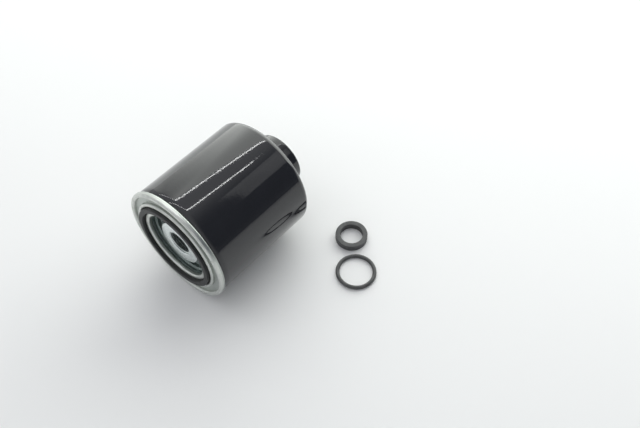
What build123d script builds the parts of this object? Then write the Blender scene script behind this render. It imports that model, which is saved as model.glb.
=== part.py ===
from build123d import *
import os

# Spin-on filter canister with a rear port collar, and the two loose seals that come with it.
# All sizes are millimetres. The canister lies on its side. The Y axis is its thread axis, with
# the origin at the mouth of the head thread, in the plane of the hub's face. +Y runs to the
# rear port, -Y is the way the filter head's stud leaves, and +Z is up. The rim and the two
# loose seals rest on the plane z = -rim_radius.

# ---- overall
rim_radius = 47.0  # outside of the rolled seam
can_length = 93.9  # front of the rolled seam to the flat rear end
seam_step = 0.8  # how much smaller the can is than the seam
shoulder = 4.7  # outer radius of the can's rear corner

# ---- sheet metal and the double seam
sheet = 0.7  # can and lid
seam_gap = 0.06  # between the folded layers
fold = 0.6  # centre-line bend of the pressed corners
neck_bend = 0.8  # centre-line bend of the can's neck, next to the seam
neck_crown = 7.0  # and where it meets the wall
hook_overlap = 1.2  # straight length of the can's hook
hook_end_gap = 0.12
neck_start = 0.3  # behind the seam
neck_taper = 2.3  # length of the taper before its corners are rounded

# ---- seam lid, from the rim inwards
channel_width = 4.7  # between the seam's inner wall and the ridge
channel_depth = 3.0  # rim front to the centre-line of the channel floor
ridge_width = 3.0
ridge_rise = 0.45  # ridge crest proud of the rim front
lip_width = 3.9
lip_bend = 0.95  # centre-line radius of the lip's two bends

# ---- head gasket
gasket_width = 3.8
gasket_side_clearance = 0.25  # to the ridge
gasket_lip_gap = 0.25  # to the inner lip
gasket_stand = 2.9  # proud of the rim
gasket_edge = 0.5

# ---- base plate
hub_depth = 3.5  # hub face behind the rim front
hub_radius = 18.4
hub_corner = 0.9
hub_ledge_depth = 3.2
hub_ledge_radius = 20.6
head_thread_minor = 9.19  # M20 x 1.5
lead_in = 0.5
plate = 3.0
plate_edge_gap = 0.66
recess_depth = 6.0  # hub face to the recess floor
recess_ledge_depth = 2.6
recess_ledge = 1.5
recess_corner = 0.5
inlet_count = 8
inlet_break = 0.25  # broken edge round each inlet hole
inlet_land = 0.08  # flat floor on each side of a hole's broken edge
spigot_radius = 13.5
spigot_length = 5.5
nugget_count = 8
nugget_radius = 1.5
nugget_bite = 1.0  # into the plate

# ---- rear port collar
port_radius = 21.1
port_length = 18.1
port_thread_minor = 13.19  # M28 x 1.5
port_seat_clearance = 0.24  # round the loose O-ring
port_seat_depth = 2.4
port_spigot_radius = 17.5
port_spigot_length = 3.0
port_spigot_clearance = 0.05
port_edge = 1.0
weld_leg = 1.3

# ---- filter element
cap_sheet = 0.5
cap_to_can = 5.75  # flow gap round the element
cap_rim = 3.5
cap_bend = 0.6
cap_to_plate = 4.0
neck_rise = 3.2
grommet_wall = 3.0
grommet_running_clearance = 0.05
grommet_length = 4.4
glue = 1.5
glue_clearance = 0.05
tube_step = 1.95  # tube's bore outside the cap's neck
tube_wall = 0.5
tube_hole_radius = 2.4
tube_hole_rows = 7
tube_holes_across = 4
paper = 0.6
pleat_count = 44
pleat_clearance = 0.7
clip_wall = 0.4
clip_depth = 3.4
clip_gap = 0.05
clip_half_opening = 0.7

# ---- spring and its cup
spring_length = 13.0  # as fitted
spring_to_spigot = 1.5
spring_wire = 2.0
spring_turns = 2.5
boss_radius = 12.0
boss_height = 3.0
cup_sheet = 0.8
cup_rim = 2.4
cup_clearance = 0.1
cup_side = 0.9

# ---- loose seals, and where they lie beside the canister
o_ring_mean_radius = 14.34
o_ring_section = 3.04
o_ring_place = (94.9, 88.6)
square_outer_radius = 12.69
square_wall = 3.79  # outer radius less inner radius
square_height = 5.34
square_edge = 0.3
square_place = (71.2, 111.6)

# ---- places worked out from the sizes above
pitch = sheet + seam_gap
half_sheet = sheet / 2
rim_front = -hub_depth
roll_reach = 2 * pitch + half_sheet  # half the width of the seam's rounded front
roll_middle = rim_radius - roll_reach
roll_y = rim_front + roll_reach
curl_y = roll_y + hook_overlap + hook_end_gap
seam_back = curl_y + pitch + half_sheet
can_radius = rim_radius - seam_step
can_inside = can_radius - sheet
end_y = can_length - hub_depth
end_inside = end_y - sheet
floor_y = rim_front + channel_depth
plate_front = floor_y + half_sheet
chuck_line = roll_middle - 2 * pitch
ridge_outer_line = chuck_line - sheet - channel_width
ridge_inner_line = ridge_outer_line - ridge_width + sheet
groove_width = gasket_width + gasket_side_clearance + gasket_lip_gap
lip_outer_line = ridge_inner_line - groove_width - sheet
lip_inner_line = lip_outer_line - lip_width + sheet
recess_radius = lip_inner_line - half_sheet
plate_radius = chuck_line - half_sheet - plate_edge_gap
recess_back = recess_depth + plate
spigot_end = recess_back + spigot_length
recess_wall = recess_radius - recess_ledge
inlet_circle = (hub_ledge_radius + recess_wall) / 2
inlet_radius = (recess_wall - hub_ledge_radius) / 2 - recess_corner - inlet_land - inlet_break
gasket_outer = ridge_inner_line - half_sheet - gasket_side_clearance
gasket_inner = gasket_outer - gasket_width

cap_front = recess_back + cap_to_plate
cap_radius = can_inside - cap_to_can
cap_inside = cap_radius - cap_sheet
cap_back = cap_front + cap_sheet
grommet_inner = spigot_radius + grommet_running_clearance
neck_inside = grommet_inner + grommet_wall
tube_radius = neck_inside + tube_step + tube_wall
spring_mean_radius = port_spigot_radius + spring_to_spigot + spring_wire / 2
port_seat_radius = o_ring_mean_radius + o_ring_section / 2 + port_seat_clearance
cup_back = end_inside - spring_length
cup_front = cup_back - cup_sheet
lower_cap_front = cup_front - cap_sheet
media_front = cap_back + glue
media_back = lower_cap_front - glue
media_length = media_back - media_front
media_outer = cap_inside - pleat_clearance
media_inner = tube_radius + glue_clearance + pleat_clearance
seal_floor = -rim_radius


def across(y):
    """Plane square to the thread axis, facing the rear port."""
    return Plane(origin=(0, y, 0), x_dir=(1, 0, 0), z_dir=(0, 1, 0))


def ring_profile(inner, outer, front, back):
    """Corners of a rectangular ring section, for revolving about Y."""
    return [(inner, front), (outer, front), (outer, back), (inner, back)]


# ---- can shell: hooked edge, neck, wall, shoulder and rear end, in one thickness of sheet
wall_line = can_radius - half_sheet
neck_y = seam_back + neck_start
with BuildPart() as can_shell:
    with BuildSketch(Plane.XY):
        with BuildLine():
            Line((roll_middle + pitch, roll_y + hook_overlap), (roll_middle + pitch, roll_y))
            CenterArc((roll_middle, roll_y), pitch, 0, -180)
            FilletPolyline(
                (roll_middle - pitch, roll_y),
                (roll_middle - pitch, neck_y),
                (wall_line, neck_y + neck_taper),
                (wall_line, end_y - half_sheet),
                (port_spigot_radius + port_spigot_clearance + half_sheet, end_y - half_sheet),
                radius=[neck_bend, neck_crown, shoulder - half_sheet],
            )
            offset(amount=half_sheet, kind=Kind.ARC)
        make_face()
    revolve(axis=Axis.Y)

# ---- seam lid: lip, gasket groove, ridge, channel, and the roll that folds over the can
ridge_bend = (ridge_outer_line - ridge_inner_line) / 2
ridge_y = rim_front - ridge_rise + half_sheet + ridge_bend
lip_y = rim_front + half_sheet
lip_foot = lip_y + 1.5 * lip_bend
with BuildPart() as seam_lid:
    with BuildSketch(Plane.XY):
        with BuildLine():
            FilletPolyline(
                (lip_inner_line, floor_y),
                (lip_inner_line, lip_y),
                (lip_outer_line, lip_y),
                (lip_outer_line, lip_foot),
                radius=lip_bend,
            )
            FilletPolyline(
                (lip_outer_line, lip_foot),
                (lip_outer_line, floor_y),
                (ridge_inner_line, floor_y),
                (ridge_inner_line, ridge_y),
                radius=fold,
            )
            CenterArc((ridge_inner_line + ridge_bend, ridge_y), ridge_bend, 180, 180)
            FilletPolyline(
                (ridge_outer_line, ridge_y),
                (ridge_outer_line, floor_y),
                (chuck_line, floor_y),
                (chuck_line, roll_y),
                radius=fold,
            )
            CenterArc((roll_middle, roll_y), 2 * pitch, 180, 180)
            Line((roll_middle + 2 * pitch, roll_y), (roll_middle + 2 * pitch, curl_y))
            CenterArc((roll_middle + pitch, curl_y), pitch, 0, 180)
            Line((roll_middle, curl_y), (roll_middle, roll_y + hook_overlap / 4))
            offset(amount=half_sheet, kind=Kind.ARC)
        make_face()
    revolve(axis=Axis.Y)
    with BuildSketch(across(floor_y)):
        with PolarLocations((gasket_inner + gasket_outer) / 2, nugget_count):
            Circle(nugget_radius)
    extrude(amount=half_sheet, mode=Mode.SUBTRACT)

# ---- base plate: threaded hub, stepped recess with its ring of inlet holes, and flange
with BuildPart() as base_plate:
    with BuildSketch(Plane.XY):
        with BuildLine():
            Polyline(
                (head_thread_minor + lead_in, 0),
                (hub_radius, 0),
                (hub_radius, hub_ledge_depth),
                (hub_ledge_radius, hub_ledge_depth),
                (hub_ledge_radius, recess_depth),
                (recess_wall, recess_depth),
                (recess_wall, recess_ledge_depth),
                (recess_radius, recess_ledge_depth),
                (recess_radius, plate_front),
                (plate_radius, plate_front),
                (plate_radius, plate_front + plate),
                (recess_radius + plate, plate_front + plate),
                (recess_radius + plate, recess_back),
                (spigot_radius, recess_back),
                (spigot_radius, spigot_end),
                (head_thread_minor + lead_in, spigot_end),
                (head_thread_minor, spigot_end - lead_in),
                (head_thread_minor, lead_in),
                close=True,
            )
        profile = make_face()
        inner_corners = [
            corner
            for corner in profile.vertices()
            if corner.Y < recess_back and hub_radius < corner.X < recess_radius + plate
            and corner.Y > 0
        ]
        fillet(inner_corners, recess_corner)
        hub_rim = [v for v in vertices() if abs(v.X - hub_radius) < 0.01 and abs(v.Y) < 0.01]
        fillet(hub_rim, hub_corner)
    revolve(axis=Axis.Y)
    with BuildSketch(across(recess_depth)):
        with PolarLocations(inlet_circle, inlet_count, start_angle=180 / inlet_count):
            Circle(inlet_radius)
    extrude(amount=plate, mode=Mode.SUBTRACT)
    hole_mouths = [
        edge
        for edge in edges().filter_by(GeomType.CIRCLE)
        if abs(edge.radius - inlet_radius) < 0.01 and abs(edge.arc_center.Y - recess_depth) < 0.01
    ]
    chamfer(hole_mouths, inlet_break)
    with BuildSketch(across(plate_front)):
        with PolarLocations((gasket_inner + gasket_outer) / 2, nugget_count):
            Circle(nugget_radius)
    extrude(amount=nugget_bite, mode=Mode.SUBTRACT)

# ---- spot welds that hold the lid to the plate, hidden under the gasket
with BuildPart() as spot_welds:
    with BuildSketch(across(floor_y)):
        with PolarLocations((gasket_inner + gasket_outer) / 2, nugget_count):
            Circle(nugget_radius)
    extrude(amount=half_sheet + nugget_bite)

# ---- bead of sealing compound in the corner between can, lid and plate
with BuildPart() as seam_sealant:
    with BuildSketch(Plane.XY):
        with BuildLine():
            Polyline(
                (plate_radius, plate_front),
                (roll_middle - pitch - half_sheet, plate_front),
                (roll_middle - pitch - half_sheet, plate_front + plate / 2),
                (plate_radius, plate_front + plate),
                close=True,
            )
        make_face()
    revolve(axis=Axis.Y)

# ---- head gasket
with BuildPart() as head_gasket:
    with BuildSketch(Plane.XY):
        with BuildLine():
            Polyline(
                *ring_profile(
                    gasket_inner, gasket_outer, rim_front - gasket_stand, floor_y - half_sheet
                ),
                close=True,
            )
        make_face()
        fillet(vertices(), gasket_edge)
    revolve(axis=Axis.Y)

# ---- rear port collar: threaded, with a seat for the loose O-ring, and a spigot into the can
with BuildPart() as port_collar:
    with BuildSketch(Plane.XY):
        with BuildLine():
            Polyline(
                (port_thread_minor, end_inside - port_spigot_length),
                (port_spigot_radius, end_inside - port_spigot_length),
                (port_spigot_radius, end_y),
                (port_radius, end_y),
                (port_radius, end_y + port_length),
                (port_seat_radius, end_y + port_length),
                (port_seat_radius, end_y + port_length - port_seat_depth),
                (port_thread_minor, end_y + port_length - port_seat_depth),
                close=True,
            )
        make_face()
        nose = vertices().group_by(Axis.Y)[-1].sort_by(Axis.X)[-1]
        fillet(nose, port_edge)
    revolve(axis=Axis.Y)

# ---- weld bead round the collar's foot
with BuildPart() as port_weld_bead:
    with BuildSketch(Plane.XY):
        with BuildLine():
            Line((port_radius, end_y), (port_radius + weld_leg, end_y))
            RadiusArc((port_radius + weld_leg, end_y), (port_radius, end_y + weld_leg), -1.4 * weld_leg)
            Line((port_radius, end_y + weld_leg), (port_radius, end_y))
        make_face()
    revolve(axis=Axis.Y)

# ---- grommet that seals the element on the hub's spigot
with BuildPart() as hub_grommet:
    with BuildSketch(Plane.XY):
        with BuildLine():
            Polyline(
                *ring_profile(grommet_inner, neck_inside, cap_back - grommet_length, cap_back),
                close=True,
            )
        make_face()
        fillet(vertices(), cap_sheet / 2)
    revolve(axis=Axis.Y)

# ---- upper end cap, with the neck that grips the grommet
half_cap = cap_sheet / 2
with BuildPart() as upper_end_cap:
    with BuildSketch(Plane.XY):
        with BuildLine():
            FilletPolyline(
                (neck_inside + half_cap, cap_front - neck_rise),
                (neck_inside + half_cap, cap_front + half_cap),
                (cap_radius - half_cap, cap_front + half_cap),
                (cap_radius - half_cap, cap_front + cap_rim),
                radius=cap_bend,
            )
            offset(amount=half_cap, kind=Kind.ARC)
        make_face()
    revolve(axis=Axis.Y)

# ---- lower end cap, closed, with a boss that centres the spring cup
with BuildPart() as lower_end_cap:
    with BuildSketch(Plane.XY):
        with BuildLine():
            Polyline(
                (0, cup_front + boss_height - cap_sheet),
                (boss_radius - cap_sheet, cup_front + boss_height - cap_sheet),
                (boss_radius - cap_sheet, lower_cap_front),
                (cap_inside, lower_cap_front),
                (cap_inside, cup_front - cap_rim),
                (cap_radius, cup_front - cap_rim),
                (cap_radius, cup_front),
                (boss_radius, cup_front),
                (boss_radius, cup_front + boss_height),
                (0, cup_front + boss_height),
                close=True,
            )
        make_face()
        outer_corner = vertices().sort_by(Axis.X).group_by(Axis.X)[-1].sort_by(Axis.Y)[-1]
        fillet(outer_corner, cap_bend)
    revolve(axis=Axis.Y)


def glue_ring(front):
    """Layer of adhesive that the pleat ends are set in, between the tube and a cap's rim."""
    with BuildPart() as ring:
        with BuildSketch(across(front)):
            Circle(cap_inside - cap_bend + half_cap)
            Circle(tube_radius + glue_clearance, mode=Mode.SUBTRACT)
        extrude(amount=glue)
    return ring.part


upper_cap_glue = glue_ring(cap_back)
lower_cap_glue = glue_ring(media_back)

# ---- pleated paper, folded round the centre tube
half_paper = paper / 2
with BuildPart() as pleated_media:
    with BuildSketch(across(media_front)):
        with BuildLine():
            folds = []
            for pleat in range(pleat_count):
                turn = 360 * pleat / pleat_count
                folds.append(Vector(media_outer - half_paper, 0).rotate(Axis.Z, turn))
                turn += 180 / pleat_count
                folds.append(Vector(media_inner + half_paper, 0).rotate(Axis.Z, turn))
            paper_line = Polyline(*folds, close=True)
            offset(amount=half_paper, kind=Kind.ARC)
        make_face()
        with BuildLine(mode=Mode.PRIVATE) as inner_side:
            Polyline(*folds, close=True)
            offset(amount=-half_paper, kind=Kind.ARC)
        make_face(inner_side.edges(), mode=Mode.SUBTRACT)
    extrude(amount=media_length)

# ---- folded strip that clips the paper's two ends together, over the fold on +X
clip_back = media_outer + clip_gap
with BuildPart() as media_clip:
    with BuildSketch(across(media_front)):
        with Locations((clip_back + clip_wall - clip_depth / 2, 0)):
            Rectangle(clip_depth, 2 * (clip_half_opening + clip_wall))
        with Locations((clip_back - clip_depth / 2, 0)):
            Rectangle(clip_depth, 2 * clip_half_opening, mode=Mode.SUBTRACT)
    extrude(amount=media_length)

# ---- perforated centre tube
tube_length = lower_cap_front - cap_back
row_pitch = media_length / tube_hole_rows
with BuildPart() as centre_tube:
    with BuildSketch(across(cap_back)):
        Circle(tube_radius)
        Circle(tube_radius - tube_wall, mode=Mode.SUBTRACT)
    extrude(amount=tube_length)
    for row in range(tube_hole_rows):
        row_y = media_front + row_pitch * (row + 0.5)
        stagger = (row % 2) * 90 / tube_holes_across
        for hole in range(tube_holes_across):
            turn = stagger + 180 * hole / tube_holes_across
            with Locations(Location((0, row_y, 0), (0, turn, 0))):
                Cylinder(tube_hole_radius, 3 * tube_radius, mode=Mode.SUBTRACT)

# ---- spring cup, a washer with a turned-up rim
cup_radius = spring_mean_radius + spring_wire / 2 + cup_side + cup_sheet
with BuildPart() as spring_cup:
    with BuildSketch(Plane.XY):
        with BuildLine():
            Polyline(
                (boss_radius + cup_clearance, cup_front),
                (cup_radius, cup_front),
                (cup_radius, cup_back + cup_rim),
                (cup_radius - cup_sheet, cup_back + cup_rim),
                (cup_radius - cup_sheet, cup_back),
                (boss_radius + cup_clearance, cup_back),
                close=True,
            )
        make_face()
    revolve(axis=Axis.Y)

# ---- element spring, between the cup and the can's rear end
coil_rise = spring_length - spring_wire
with BuildPart() as element_spring:
    with BuildLine() as coil:
        Helix(
            coil_rise / spring_turns,
            coil_rise,
            spring_mean_radius,
            center=(0, cup_back + spring_wire / 2, 0),
            direction=(0, 1, 0),
        )
    with BuildSketch(Plane(origin=coil.line @ 0, z_dir=coil.line % 0)):
        Circle(spring_wire / 2)
    sweep(path=coil.line, is_frenet=True)

# ---- loose O-ring, flat on the floor
o_ring_floor = Plane(origin=(*o_ring_place, seal_floor))
with BuildPart(o_ring_floor) as loose_o_ring:
    with Locations((0, 0, o_ring_section / 2)):
        Torus(o_ring_mean_radius, o_ring_section / 2)

# ---- loose square-section seal, flat on the floor
square_floor = Plane(origin=(*square_place, seal_floor))
with BuildPart() as loose_square_seal:
    with BuildSketch(square_floor):
        Circle(square_outer_radius)
        Circle(square_outer_radius - square_wall, mode=Mode.SUBTRACT)
    extrude(amount=square_height)
    fillet(edges().filter_by(GeomType.CIRCLE), square_edge)

# ---- one STEP file for each piece
pieces = {
    "can_shell": can_shell.part,
    "seam_lid": seam_lid.part,
    "base_plate": base_plate.part,
    "spot_welds": spot_welds.part,
    "seam_sealant": seam_sealant.part,
    "head_gasket": head_gasket.part,
    "port_collar": port_collar.part,
    "port_weld_bead": port_weld_bead.part,
    "hub_grommet": hub_grommet.part,
    "upper_end_cap": upper_end_cap.part,
    "lower_end_cap": lower_end_cap.part,
    "upper_cap_glue": upper_cap_glue,
    "lower_cap_glue": lower_cap_glue,
    "pleated_media": pleated_media.part,
    "media_clip": media_clip.part,
    "centre_tube": centre_tube.part,
    "spring_cup": spring_cup.part,
    "element_spring": element_spring.part,
    "loose_o_ring": loose_o_ring.part,
    "loose_square_seal": loose_square_seal.part,
}
os.makedirs("parts", exist_ok=True)
for name, piece in pieces.items():
    piece.label = name
    export_step(piece, f"parts/{name}.step")
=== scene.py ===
"""Looks of a spin-on filter canister and the two loose seals that come with it.

Everything is in metres, in the CAD frame: Y is the thread axis, +Y runs to the rear port, the
origin is at the mouth of the head thread, and +Z is up.
"""
import logging
import math
from dataclasses import dataclass, field
from enum import Enum
from typing import Callable, Sequence

import bmesh
import bpy
import numpy as np
from mathutils import Matrix, Vector


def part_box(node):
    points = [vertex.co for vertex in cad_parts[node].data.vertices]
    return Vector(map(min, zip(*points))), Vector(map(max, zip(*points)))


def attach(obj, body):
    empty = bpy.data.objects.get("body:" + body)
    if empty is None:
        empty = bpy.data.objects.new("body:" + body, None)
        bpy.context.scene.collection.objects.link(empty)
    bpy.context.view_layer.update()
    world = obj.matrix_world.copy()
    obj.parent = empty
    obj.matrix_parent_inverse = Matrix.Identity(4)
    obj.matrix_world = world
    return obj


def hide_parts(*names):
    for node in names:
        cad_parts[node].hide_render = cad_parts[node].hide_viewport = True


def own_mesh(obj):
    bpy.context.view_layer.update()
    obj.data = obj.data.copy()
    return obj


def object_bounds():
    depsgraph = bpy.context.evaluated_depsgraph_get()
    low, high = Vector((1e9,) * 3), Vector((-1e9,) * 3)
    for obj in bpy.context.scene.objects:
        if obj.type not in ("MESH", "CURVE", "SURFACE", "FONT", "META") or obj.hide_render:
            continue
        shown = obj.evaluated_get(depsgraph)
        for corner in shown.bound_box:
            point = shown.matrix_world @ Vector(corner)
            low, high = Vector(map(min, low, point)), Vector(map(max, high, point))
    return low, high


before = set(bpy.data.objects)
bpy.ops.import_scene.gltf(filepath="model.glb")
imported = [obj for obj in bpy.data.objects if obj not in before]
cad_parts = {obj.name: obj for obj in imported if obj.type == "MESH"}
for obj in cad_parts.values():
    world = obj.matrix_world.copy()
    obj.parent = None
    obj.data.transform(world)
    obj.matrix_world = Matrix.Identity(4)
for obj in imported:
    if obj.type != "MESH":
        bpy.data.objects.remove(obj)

log = logging.getLogger("canister")
MM = 0.001
CAD_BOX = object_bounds()
ALONG_Y = (-math.pi / 2, 0.0, 0.0)
Shift = Callable[[np.ndarray], np.ndarray]
Triple = tuple[float, float, float]


class Body(Enum):
    """The bodies that pieces ride on."""

    CANISTER = "canister"
    ELEMENT = "element"
    O_RING = "o_ring"
    SQUARE_SEAL = "square_seal"


# ---------------------------------------------------------------- sections and turned meshes


@dataclass(frozen=True)
class Corner:
    """A corner of a section: its radius, its place along the axis and its bend."""

    r: float
    y: float
    bend: float = 0.0


class Outline:
    """A line in the half plane of radius and y, built up from runs and arcs."""

    def __init__(self, step: float = 0.3 * MM) -> None:
        """Starts an empty outline.

        Args:
            step: longest chord on an arc.
        """
        self.step = step
        self.points: list[tuple[float, float]] = []

    def to(self, r: float, y: float) -> "Outline":
        """Adds one point, unless the line already ends there."""
        if not self.points or math.dist(self.points[-1], (r, y)) > 1e-8:
            self.points.append((r, y))
        return self

    def arc(self, r: float, y: float, radius: float, start: float, sweep: float) -> "Outline":
        """Adds an arc.

        Args:
            r: radius of the arc's centre from the axis.
            y: place of the centre along the axis.
            radius: radius of the arc.
            start: first angle in degrees, from the outward direction towards +Y.
            sweep: turn in degrees, positive towards +Y.

        Returns:
            The outline itself.
        """
        steps = max(4, math.ceil(math.radians(abs(sweep)) * radius / self.step))
        for i in range(steps + 1):
            a = math.radians(start + sweep * i / steps)
            self.to(r + radius * math.cos(a), y + radius * math.sin(a))
        return self

    def bends(self, corners: Sequence[Corner], closed: bool = False) -> "Outline":
        """Adds a run of corners, each rounded to its bend.

        Args:
            corners: the corners in order.
            closed: whether the last corner joins the first.

        Returns:
            The outline itself.
        """
        count = len(corners)
        for i, corner in enumerate(corners):
            at = Vector((corner.r, corner.y))
            if corner.bend <= 0 or (not closed and i in (0, count - 1)):
                self.to(*at)
                continue
            before = corners[i - 1]
            after = corners[(i + 1) % count]
            u = (Vector((before.r, before.y)) - at).normalized()
            v = (Vector((after.r, after.y)) - at).normalized()
            half = u.angle(v) / 2
            reach = corner.bend / math.tan(half)
            middle = at + (u + v).normalized() * (corner.bend / math.sin(half))
            first, last = at + u * reach - middle, at + v * reach - middle
            start = math.degrees(math.atan2(first.y, first.x))
            turn = math.degrees(math.atan2(last.y, last.x)) - start
            turn = (turn + 180) % 360 - 180
            self.arc(middle.x, middle.y, corner.bend, start, turn)
        return self

    def spaced(self, gap: float) -> "Outline":
        """Divides every run that is longer than gap, and returns the outline."""
        old, self.points = self.points, []
        for a, b in zip(old, old[1:] + old[:1]):
            parts = max(1, math.ceil(math.dist(a, b) / gap))
            for i in range(parts):
                self.to(a[0] + (b[0] - a[0]) * i / parts, a[1] + (b[1] - a[1]) * i / parts)
        return self

    def sheet(self, thickness: float) -> "Outline":
        """Closed outline of a sheet of that thickness, with this line in its middle.

        Args:
            thickness: thickness of the sheet.

        Returns:
            A new closed outline with rounded edges.
        """
        line = np.array(self.points)
        along = np.gradient(line, axis=0)
        along /= np.linalg.norm(along, axis=1)[:, None]
        side = np.stack([-along[:, 1], along[:, 0]], axis=1) * thickness / 2
        closed = Outline(self.step)
        edge_steps = 6
        ends = ((line[-1], along[-1], line + side), (line[0], -along[0], (line - side)[::-1]))
        for tip, ahead, flank in ends:
            for p in flank:
                closed.to(*p)
            left = flank[-1] - tip
            for i in range(1, edge_steps):
                a = math.pi * i / edge_steps
                closed.to(*(tip + left * math.cos(a) + ahead * (thickness / 2) * math.sin(a)))
        return closed


def object_from(name: str, mesh: bpy.types.Mesh) -> bpy.types.Object:
    """Puts a mesh in the scene as an object at the origin, and returns the object."""
    piece = bpy.data.objects.new(name, mesh)
    bpy.context.scene.collection.objects.link(piece)
    return piece


def flat_piece(name: str, corners: Sequence[Sequence[float]]) -> bpy.types.Object:
    """A flat piece with one face between four corners; returns the object."""
    mesh = bpy.data.meshes.new(name)
    mesh.from_pydata(corners, [], [(0, 1, 2, 3)])
    return object_from(name, mesh)


def tidy_mesh(mesh: bpy.types.Mesh, sharp: float = 35.0) -> None:
    """Merges doubles, turns faces outwards and shades the mesh smooth.

    Args:
        mesh: mesh to tidy.
        sharp: edges that turn by more than this many degrees stay sharp.
    """
    work = bmesh.new()
    work.from_mesh(mesh)
    bmesh.ops.remove_doubles(work, verts=work.verts, dist=1e-7)
    bmesh.ops.recalc_face_normals(work, faces=work.faces)
    work.to_mesh(mesh)
    work.free()
    mesh.shade_smooth()
    mesh.set_sharp_from_angle(angle=math.radians(sharp))


def lathe(
    name: str, outline: Outline, segments: int = 256, shift: Shift | None = None,
    centre: tuple[float, float] | None = None,
) -> bpy.types.Object:
    """Turns a closed outline about the thread axis, or about a vertical axis.

    Args:
        name: name of the piece.
        outline: closed section.
        segments: steps round the axis.
        shift: small radial move as a function of the angle round the axis.
        centre: x and y of a vertical axis, or None for the thread axis.

    Returns:
        The new object.
    """
    section = np.array(outline.points)
    turn = np.arange(segments) * 2 * math.pi / segments
    angle, r = np.meshgrid(turn, section[:, 0], indexing="ij")
    along = np.broadcast_to(section[:, 1], r.shape)
    if shift is not None:
        r = np.maximum(r + shift(angle), 0.0)
    across, over = r * np.cos(angle), r * np.sin(angle)
    if centre is None:
        grid = np.stack([across, along, over], axis=-1)
    else:
        grid = np.stack([across + centre[0], over + centre[1], along], axis=-1)
    count = len(section)
    i, j = np.meshgrid(np.arange(segments), np.arange(count), indexing="ij")
    i2, j2 = (i + 1) % segments, (j + 1) % count
    quads = np.stack([i * count + j, i2 * count + j, i2 * count + j2, i * count + j2], axis=-1)
    mesh = bpy.data.meshes.new(name)
    mesh.from_pydata(grid.reshape(-1, 3).tolist(), [], quads.reshape(-1, 4).tolist())
    tidy_mesh(mesh)
    return object_from(name, mesh)


def waviness(depth: float, lobes: Sequence[int], seed: int) -> Shift:
    """Slow unevenness that pressing and rolling leave, always inwards.

    Args:
        depth: deepest move.
        lobes: how many waves each component makes round the piece.
        seed: seed of the phases.

    Returns:
        A shift function for lathe.
    """
    phases = np.random.default_rng(seed).uniform(0, 2 * math.pi, len(lobes))

    def move(angle: np.ndarray) -> np.ndarray:
        """The radial move at these angles."""
        wave = sum(np.sin(k * angle + p) for k, p in zip(lobes, phases)) / len(lobes)
        return depth * (wave - 1) / 2

    return move


# ---------------------------------------------------------------- node building


class Nodes:
    """Adds and links nodes in one tree."""

    def __init__(self, tree: bpy.types.NodeTree) -> None:
        """Wraps a node tree."""
        self.tree = tree

    def add(self, kind: str, inputs: dict | None = None, **settings: object) -> bpy.types.Node:
        """Adds a node.

        Args:
            kind: the node's type name.
            inputs: values or output sockets for its inputs, by name or number.
            settings: attributes of the node itself.

        Returns:
            The new node.
        """
        node = self.tree.nodes.new(kind)
        for key, value in settings.items():
            setattr(node, key, value)
        for key, value in (inputs or {}).items():
            socket = node.inputs[key]
            if isinstance(value, bpy.types.NodeSocket):
                self.tree.links.new(value, socket)
            else:
                socket.default_value = value
        return node

    def math(self, operation: str, *values: object) -> bpy.types.NodeSocket:
        """One arithmetic step on numbers or sockets; returns its result."""
        return self.add("ShaderNodeMath", dict(enumerate(values)), operation=operation).outputs[0]

    def product(self, first: object, *others: object) -> bpy.types.NodeSocket:
        """All the numbers or sockets multiplied together, from the left; returns the result."""
        for value in others:
            first = self.math("MULTIPLY", first, value)
        return first

    def length(self, x: bpy.types.NodeSocket, z: bpy.types.NodeSocket) -> bpy.types.NodeSocket:
        """Distance from the Y axis of a place with that x and z; returns it."""
        return self.math("SQRT", self.math("ADD", self.product(x, x), self.product(z, z)))

    def ramp(self, value: bpy.types.NodeSocket, low: float, high: float) -> bpy.types.NodeSocket:
        """Value rescaled so that low becomes 0 and high becomes 1, smoothly; returns it."""
        node = self.add("ShaderNodeMapRange", {0: value, 1: low, 2: high}, interpolation_type="SMOOTHSTEP")
        return node.outputs[0]

    def mix(self, share: object, a: object, b: object) -> bpy.types.NodeSocket:
        """Colour a turned to colour b by share; returns the mixed colour."""
        node = self.add("ShaderNodeMix", {0: share}, data_type="RGBA")
        for place, colour in ((6, a), (7, b)):
            if isinstance(colour, bpy.types.NodeSocket):
                self.tree.links.new(colour, node.inputs[place])
            else:
                node.inputs[place].default_value = (*colour, 1.0)
        return node.outputs[2]


def shader_group(name: str, inputs: dict[str, float], outputs: Sequence[str]) -> tuple[Nodes, dict]:
    """Starts a shader node group with a vector input, number inputs and number outputs.

    Args:
        name: name of the group.
        inputs: number inputs with their defaults.
        outputs: names of the outputs.

    Returns:
        The node builder, and a dict with the group's input sockets and its output node.
    """
    group = bpy.data.node_groups.new(name, "ShaderNodeTree")
    group.interface.new_socket("Place", in_out="INPUT", socket_type="NodeSocketVector")
    for label, default in inputs.items():
        socket = group.interface.new_socket(label, in_out="INPUT", socket_type="NodeSocketFloat")
        socket.default_value = default
    for label in outputs:
        group.interface.new_socket(label, in_out="OUTPUT", socket_type="NodeSocketFloat")
    nodes = Nodes(group)
    start = nodes.add("NodeGroupInput")
    end = nodes.add("NodeGroupOutput")
    return nodes, {**{s.name: s for s in start.outputs if s.name}, "end": end}


def grain_group() -> bpy.types.NodeTree:
    """Fine grain with a few larger blotches: outputs Grain and Blotch, 0 to 1; returns the group."""
    sizes = {"Grain Size": 0.4 * MM, "Blotch Size": 8 * MM}
    nodes, io = shader_group("fine_grain", sizes, ("Grain", "Blotch"))
    for label, output, detail in (("Grain Size", "Grain", 4.0), ("Blotch Size", "Blotch", 3.0)):
        scale = nodes.math("DIVIDE", 1.0, io[label])
        noise = nodes.add("ShaderNodeTexNoise", {"Vector": io["Place"], "Scale": scale, "Detail": detail})
        nodes.tree.links.new(noise.outputs[0], io["end"].inputs[output])
    return nodes.tree


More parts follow.
